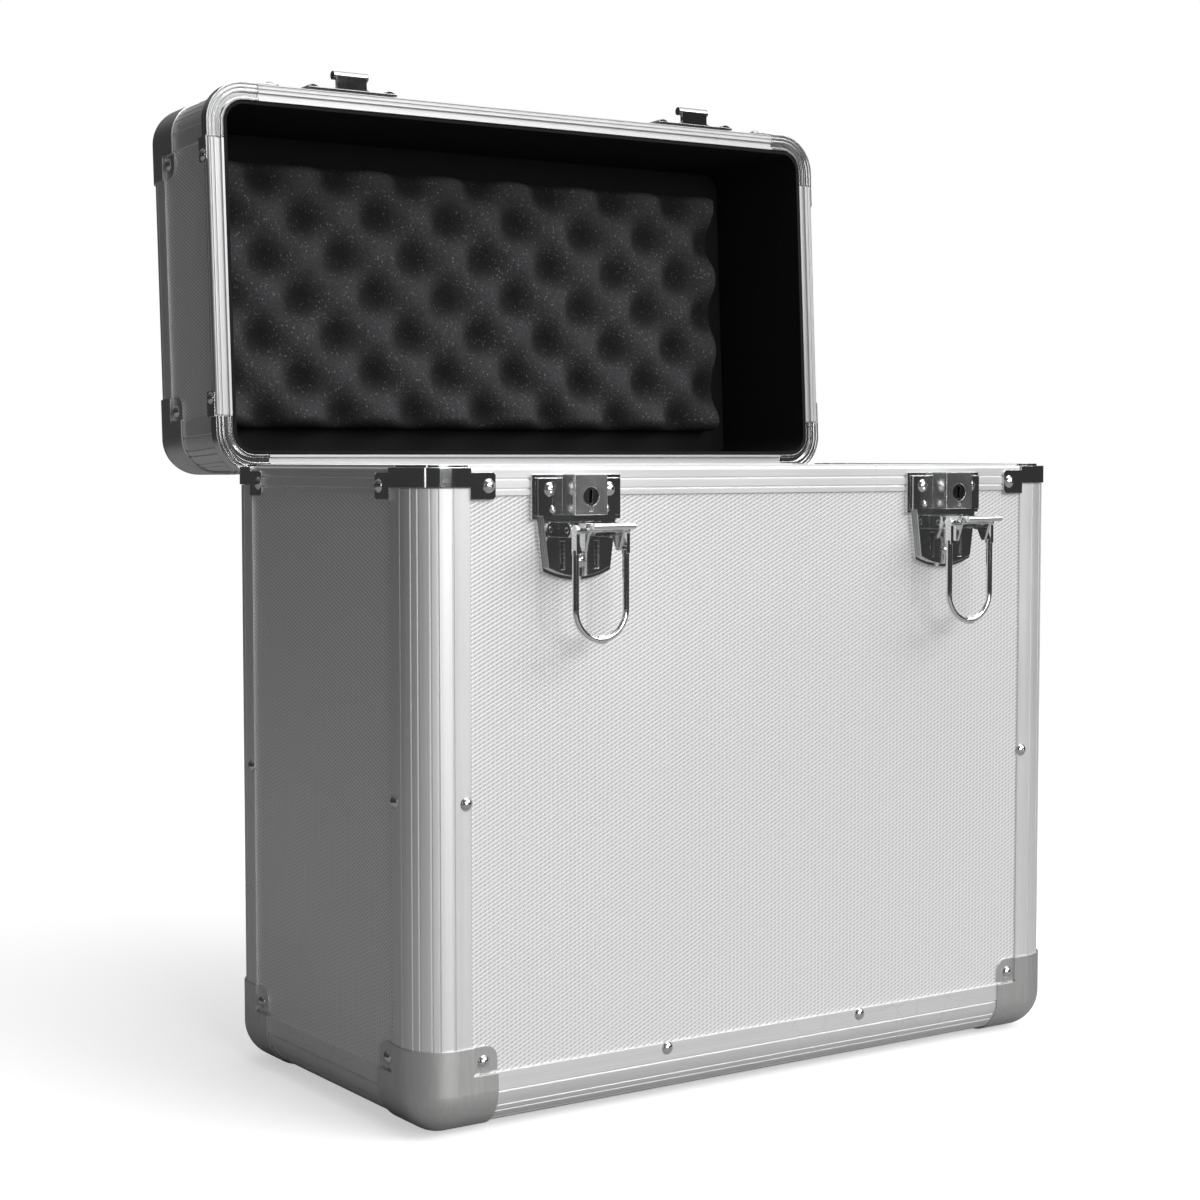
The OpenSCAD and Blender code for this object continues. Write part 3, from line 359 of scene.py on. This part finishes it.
def dash_embossing():
    """Short slanted dimples on a slanted grid, from two flat coordinates; the first output is a
    mask of painted shade in each dimple, the second their height.
    """
    tree, ins, outs = new_group(
        "dash embossing",
        {"Across": "Float", "Up": "Float"},
        {"Dimple Shade": "Float", "Height": "Float"},
    )

    def squared_share(cell, half):
        """How far a point is from the middle of its cell, in parts of half, squared."""
        offset = calc(tree, "SUBTRACT", calc(tree, "FRACT", cell), 0.5)
        share = calc(tree, "DIVIDE", calc(tree, "ABSOLUTE", offset), half)
        return calc(tree, "POWER", share, 2.0)

    column = calc(tree, "DIVIDE", ins["Across"], DASH_PITCH)
    level = calc(tree, "DIVIDE", ins["Up"], DASH_PITCH)
    lift = calc(tree, "MULTIPLY", column, DASH_SLANT)
    row = calc(tree, "DIVIDE", calc(tree, "SUBTRACT", level, lift), DASH_ROW)
    along = squared_share(column, DASH_HALF_LENGTH)
    aside = squared_share(row, DASH_HALF_WIDTH)
    reach = calc(tree, "SQRT", calc(tree, "ADD", along, aside))
    # The dimple mask carries painted shade into the colour; the height is the real relief
    tree.links.new(remap(tree, reach, DASH_SHADE, smooth=True), outs["Dimple Shade"])
    tree.links.new(remap(tree, reach, DASH_WALL, smooth=True), outs["Height"])
    return tree


MARKS = handling_marks()
LINES = drawn_lines()
DASHES = dash_embossing()


# ---------- finishes ----------


def floor_paper():
    """White paper that glows to the camera and stays dim in the metal."""
    material, tree, place = new_finish("floor paper")
    grain = add(tree, "TexNoise", Vector=place, Scale=6.0, Detail=3.0)
    paper = blend_colours(tree, grain.outputs["Fac"], PAPER_DARK, PAPER_PALE)
    away = add(tree, "VectorMath", {"operation": "LENGTH"}, i0=place).outputs["Value"]
    coat(
        tree,
        Base_Color=blend_colours(tree, camera_ray(tree), PAPER_TO_METAL, paper),
        Roughness=0.8,
        Emission_Color=blend_colours(tree, camera_ray(tree), BLACK, WHITE),
        Emission_Strength=FLOOR_GLOW,
        Alpha=remap(tree, away, FLOOR_FADE, (1.0, 0.0), smooth=True),
    )
    return material


def embossed_panel(name, across, up):
    """Pale laminate pressed with small slanted dashes, each darkened with painted shade."""
    material, tree, place = new_finish(name)
    flat = add(tree, "SeparateXYZ", Vector=place).outputs
    dashes = use_group(tree, DASHES, Across=flat[across], Up=flat[up])
    marks = use_group(tree, MARKS, Vector=place, Smudge_Size=9.0, Scratch_Size=70.0)
    worn = blend_colours(tree, marks["Smudges"], LAMINATE, LAMINATE_SMUDGE)
    coat(
        tree,
        # Painted shade in each dimple, over the smudged laminate
        Base_Color=blend_colours(tree, dashes["Dimple Shade"], worn, LAMINATE_DIMPLE_SHADE),
        Metallic=0.3,
        Roughness=remap(tree, marks["Smudges"], to=(0.33, 0.42)),
        Normal=relief(tree, dashes["Height"], strength=0.38, depth=0.25 * MM),
    )
    return material


def drawn_aluminium(name, axis, light=1.0):
    """Anodised rail, with its fine lines along one axis; a light below 1 darkens it as painted
    shade.
    """
    material, tree, place = new_finish(name)
    stretch = [RAIL_ALONG if way == axis else RAIL_ACROSS for way in range(3)]
    drawn = use_group(tree, LINES, Vector=place, Stretch=stretch)
    marks = use_group(tree, MARKS, Vector=place, Smudge_Size=14.0, Scratch_Size=60.0)
    dark, pale = ([light * part for part in c] for c in (ALUMINIUM_DARK, ALUMINIUM_PALE))
    base = blend_colours(tree, drawn["Lines"], dark, pale)
    scratched = calc(tree, "MULTIPLY", marks["Scratches"], 0.4)
    banded = remap(tree, drawn["Bands"], BAND_SPAN, (0.4, 0.5))
    coat(
        tree,
        Base_Color=blend_colours(tree, scratched, base, ALUMINIUM_SCRATCH),
        Metallic=0.7,
        Roughness=calc(tree, "MULTIPLY_ADD", marks["Smudges"], 0.07, banded),
        Normal=relief(tree, drawn["Lines"], strength=0.1, depth=0.05 * MM, edge=RAIL_EDGE),
    )
    return material


def chrome(name, light=0.86, rough=(0.06, 0.14)):
    """Plated metal with a slight ripple, clean to smudged."""
    material, tree, place = new_finish(name)
    marks = use_group(tree, MARKS, Vector=place, Smudge_Size=60.0, Scratch_Size=240.0)
    clean, smudged = ([light * part for part in c] for c in (CHROME_CLEAN, CHROME_SMUDGE))
    dulled = calc(tree, "MULTIPLY", marks["Smudges"], 0.5)
    ripple = add(tree, "TexNoise", Vector=place, Scale=55.0, Detail=1.0).outputs["Fac"]
    height = calc(tree, "MULTIPLY_ADD", marks["Scratches"], -0.02, ripple)
    coat(
        tree,
        Base_Color=blend_colours(tree, dulled, clean, smudged),
        Metallic=1.0,
        Roughness=remap(tree, marks["Smudges"], to=rough),
        Normal=relief(tree, height, strength=0.1, depth=0.1 * MM, edge=METAL_EDGE),
    )
    return material


def brushed_steel(name):
    """Pressed ball corners with short upright brush lines."""
    material, tree, place = new_finish(name)
    drawn = use_group(tree, LINES, Vector=place, Stretch=CORNER_STRETCH)
    marks = use_group(tree, MARKS, Vector=place, Smudge_Size=40.0, Scratch_Size=150.0)
    base = blend_colours(tree, drawn["Lines"], STEEL_DARK, STEEL_PALE)
    scratched = calc(tree, "MULTIPLY", marks["Scratches"], 0.12)
    coat(
        tree,
        Base_Color=blend_colours(tree, scratched, base, STEEL_SCRATCH),
        Metallic=1.0,
        Roughness=remap(tree, marks["Smudges"], to=(0.36, 0.44)),
        Normal=relief(tree, drawn["Lines"], strength=0.12, depth=0.08 * MM, edge=METAL_EDGE),
    )
    return material


def black_lining(name):
    """Matt flocked lining."""
    material, tree, place = new_finish(name)
    flock = add(
        tree, "TexNoise", Vector=place, Scale=1400.0, Detail=3.0, Roughness=0.7
    ).outputs["Fac"]
    cloud = add(tree, "TexNoise", Vector=place, Scale=16.0, Detail=4.0).outputs["Fac"]
    base = blend_colours(tree, flock, LINING_DARK, LINING_PALE)
    dusty = calc(tree, "MULTIPLY", cloud, 0.35)
    coat(
        tree,
        Base_Color=blend_colours(tree, dusty, base, LINING_PALE),
        Roughness=0.95,
        Specular_IOR_Level=0.15,
        Normal=relief(tree, flock, strength=0.4, depth=0.3 * MM),
    )
    return material


def open_cell_foam(name):
    """Charcoal foam, with painted light on its crests, painted shade in its hollows and pores, and
    painted glints on a few cells.
    """
    material, tree, place = new_finish(name)
    out = OPEN_LID.to_3x3() @ Vector((0, 0, -1))
    back = (OPEN_LID @ Vector((0, 0, FOAM_BACK))).dot(out)
    level = add(tree, "VectorMath", {"operation": "DOT_PRODUCT"}, i0=place, i1=out)
    # Painted shade: darker from the tops of the waves down into the hollows
    rise = (back + FOAM_VALLEY, back + FOAM_FULL - CREST_FULL_BELOW)
    crest_light = remap(tree, level.outputs["Value"], rise, smooth=True)
    body = blend_colours(tree, crest_light, FOAM_HOLLOW_SHADE, FOAM_CREST_LIGHT)
    # Painted shade in the pores, lighter towards the cell walls
    pores = add(tree, "TexVoronoi", Vector=place, Scale=900.0).outputs["Distance"]
    shade = blend_colours(tree, pores, PORE_SHADE, PORE_WALL_LIGHT)
    base = blend_colours(tree, 1.0, body, shade, "MULTIPLY")

    # Painted glints: one cell in a few shows a bright wall, more so on the crests, where the
    # painted light is
    cell = add(tree, "TexVoronoi", Vector=place, Scale=760.0).outputs
    draw = add(tree, "SeparateColor", Color=cell["Color"]).outputs["Red"]
    chosen = remap(tree, draw, (0.82, 0.9))
    spot = remap(tree, cell["Distance"], (0.5, 0.2))
    lit = calc(tree, "MULTIPLY_ADD", crest_light, 0.7, 0.3)
    painted_glint = calc(tree, "MULTIPLY", calc(tree, "MULTIPLY", chosen, spot), lit, clamp=True)

    grain = add(tree, "TexNoise", Vector=place, Scale=520.0, Detail=4.0, Roughness=0.75)
    height = calc(tree, "MULTIPLY_ADD", pores, -0.6, grain.outputs["Fac"])
    coat(
        tree,
        Base_Color=blend_colours(tree, painted_glint, base, FOAM_PAINTED_GLINT),
        # Painted glints over the foam colour
        Roughness=0.96,
        Normal=relief(tree, height, strength=0.6, depth=0.7 * MM),
    )
    return material


def moulded_black(name, rough):
    """Black plastic or rubber with a fine moulded grain."""
    material, tree, place = new_finish(name)
    grain = add(tree, "TexVoronoi", {"feature": "SMOOTH_F1"}, Vector=place, Scale=1100.0)
    marks = use_group(tree, MARKS, Vector=place, Smudge_Size=40.0, Scratch_Size=140.0)
    coat(
        tree,
        Base_Color=blend_colours(tree, marks["Smudges"], PLASTIC_CLEAN, PLASTIC_SMUDGE),
        Roughness=remap(tree, marks["Smudges"], to=(rough - 0.06, rough + 0.1)),
        Normal=relief(
            tree, grain.outputs["Distance"], strength=0.25, depth=0.15 * MM, edge=PLASTIC_EDGE
        ),
    )
    return material


def finish_nodes():
    """Gives every node of the frame its finish, drawn along its own length."""
    panel_front = embossed_panel("embossed panel, front", 0, 2)
    panel_side = embossed_panel("embossed panel, side", 1, 2)
    panel_flat = embossed_panel("embossed panel, flat", 0, 1)
    alu_x, alu_y, alu_z = (
        drawn_aluminium("drawn aluminium " + "xyz"[axis], axis) for axis in range(3)
    )
    # Lid rims: the same aluminium, its colour darkened to 0.72 as painted shade
    shaded_lid_rim_x = drawn_aluminium("lid rim aluminium x", 0, light=0.72)
    shaded_lid_rim_z = drawn_aluminium("lid rim aluminium z", 2, light=0.72)
    bright = chrome("bright chrome")
    clips = chrome("corner chrome", light=0.8)
    steel = brushed_steel("brushed steel")
    rivets = chrome("rivet steel", light=0.72, rough=(0.12, 0.2))
    plug = chrome("dark key plug", light=0.16, rough=(0.2, 0.3))
    satin = chrome("satin lock box", light=0.8, rough=(0.22, 0.3))
    lid_clips = chrome("lid corner steel", light=0.7, rough=(0.12, 0.17))
    # Catch: the same chrome, its colour darkened to 0.45 as painted shade
    catch = chrome("catch chrome", light=0.45, rough=(0.04, 0.07))
    lining = black_lining("black lining")
    handle = moulded_black("black handle plastic", 0.42)
    rubber = moulded_black("black rubber", 0.75)

    def finish_of(name):
        on_lid = name.startswith("lid")
        runs_across = "front" in name or "back" in name
        if name.endswith("_panel"):
            if name in ("body_bottom_panel", "lid_front_panel", "lid_back_panel"):
                return panel_flat
            return panel_side if "left" in name or "right" in name else panel_front
        if name.endswith("rim_corners"):
            return lid_clips if on_lid else clips
        if name.endswith("catch"):
            return catch
        if name.endswith("steel_corners"):
            return steel
        if name.endswith("rivets"):
            return rivets
        if name.endswith("lining") or name == "lid_foam":
            return lining
        if "_upright" in name:
            return alu_y if on_lid else alu_z
        if name.startswith("lid_rim_"):
            return shaded_lid_rim_x if runs_across else shaded_lid_rim_z
        if "_rail_" in name or "_rim_" in name:
            if runs_across:
                return alu_x
            return alu_z if on_lid else alu_y
        if name.endswith("key_plug"):
            return plug
        if name.endswith("lock_box"):
            return satin
        if name == "feet":
            return rubber
        if name.startswith("handle"):
            return handle
        return bright

    for name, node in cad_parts.items():
        node.data.materials.clear()
        node.data.materials.append(finish_of(name))


# ---------- foam pad ----------


def swayed(start, along, sways):
    """A coordinate pushed to and fro by slow sines of the other one."""
    for reach, length, begin in sways:
        start += reach * math.sin(along / length + begin)
    return start


def foam_pad():
    """Convoluted pad: one sheet of soft waves, cut square at its edges."""
    bpy.ops.object.select_all(action="DESELECT")
    bpy.ops.mesh.primitive_grid_add(
        x_subdivisions=FOAM_GRID[0], y_subdivisions=FOAM_GRID[1], size=1
    )
    pad = bpy.context.object
    pad.name = "foam_waves"
    for corner in pad.data.vertices:
        x, y = corner.co.x * FOAM_SIZE[0], corner.co.y * FOAM_SIZE[1]
        turn_x = 2 * math.pi * swayed(x, y, SWAY_ACROSS) / WAVE_ACROSS
        turn_y = 2 * math.pi * swayed(y, x, SWAY_ALONG) / WAVE_ALONG
        swell = 1 - (0.5 - 0.5 * math.cos(turn_x) * math.cos(turn_y)) ** HOLLOW_POWER
        near = min(FOAM_SIZE[0] / 2 - abs(x), FOAM_SIZE[1] / 2 - abs(y))
        ease = 1 - EDGE_DROP * max(0.0, 1 - near / EDGE_BAND) ** 2
        depth = (FOAM_VALLEY + (FOAM_FULL - FOAM_VALLEY) * swell) * ease
        corner.co = (x, y, FOAM_BACK - depth)
    bpy.ops.object.mode_set(mode="EDIT")
    bpy.ops.mesh.select_mode(type="EDGE")
    bpy.ops.mesh.select_all(action="SELECT")
    bpy.ops.mesh.region_to_loop()
    bpy.ops.mesh.extrude_edges_move()
    bpy.ops.object.mode_set(mode="OBJECT")
    for corner in pad.data.vertices:
        if corner.select:
            corner.co.z = FOAM_BACK
    bpy.ops.object.mode_set(mode="EDIT")
    bpy.ops.mesh.edge_face_add()
    bpy.ops.mesh.select_all(action="SELECT")
    bpy.ops.mesh.normals_make_consistent(inside=False)
    bpy.ops.object.mode_set(mode="OBJECT")
    pad.data.transform(OPEN_LID)
    bpy.ops.object.shade_smooth_by_angle(angle=SHARP_FROM)
    pad.data.materials.append(open_cell_foam("charcoal foam"))
    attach(pad, "lid")
    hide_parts("lid_foam")


bpy.context.scene.view_settings.view_transform = "Standard"
place_camera()
light_studio()
lay_floor()
finish_nodes()
foam_pad()
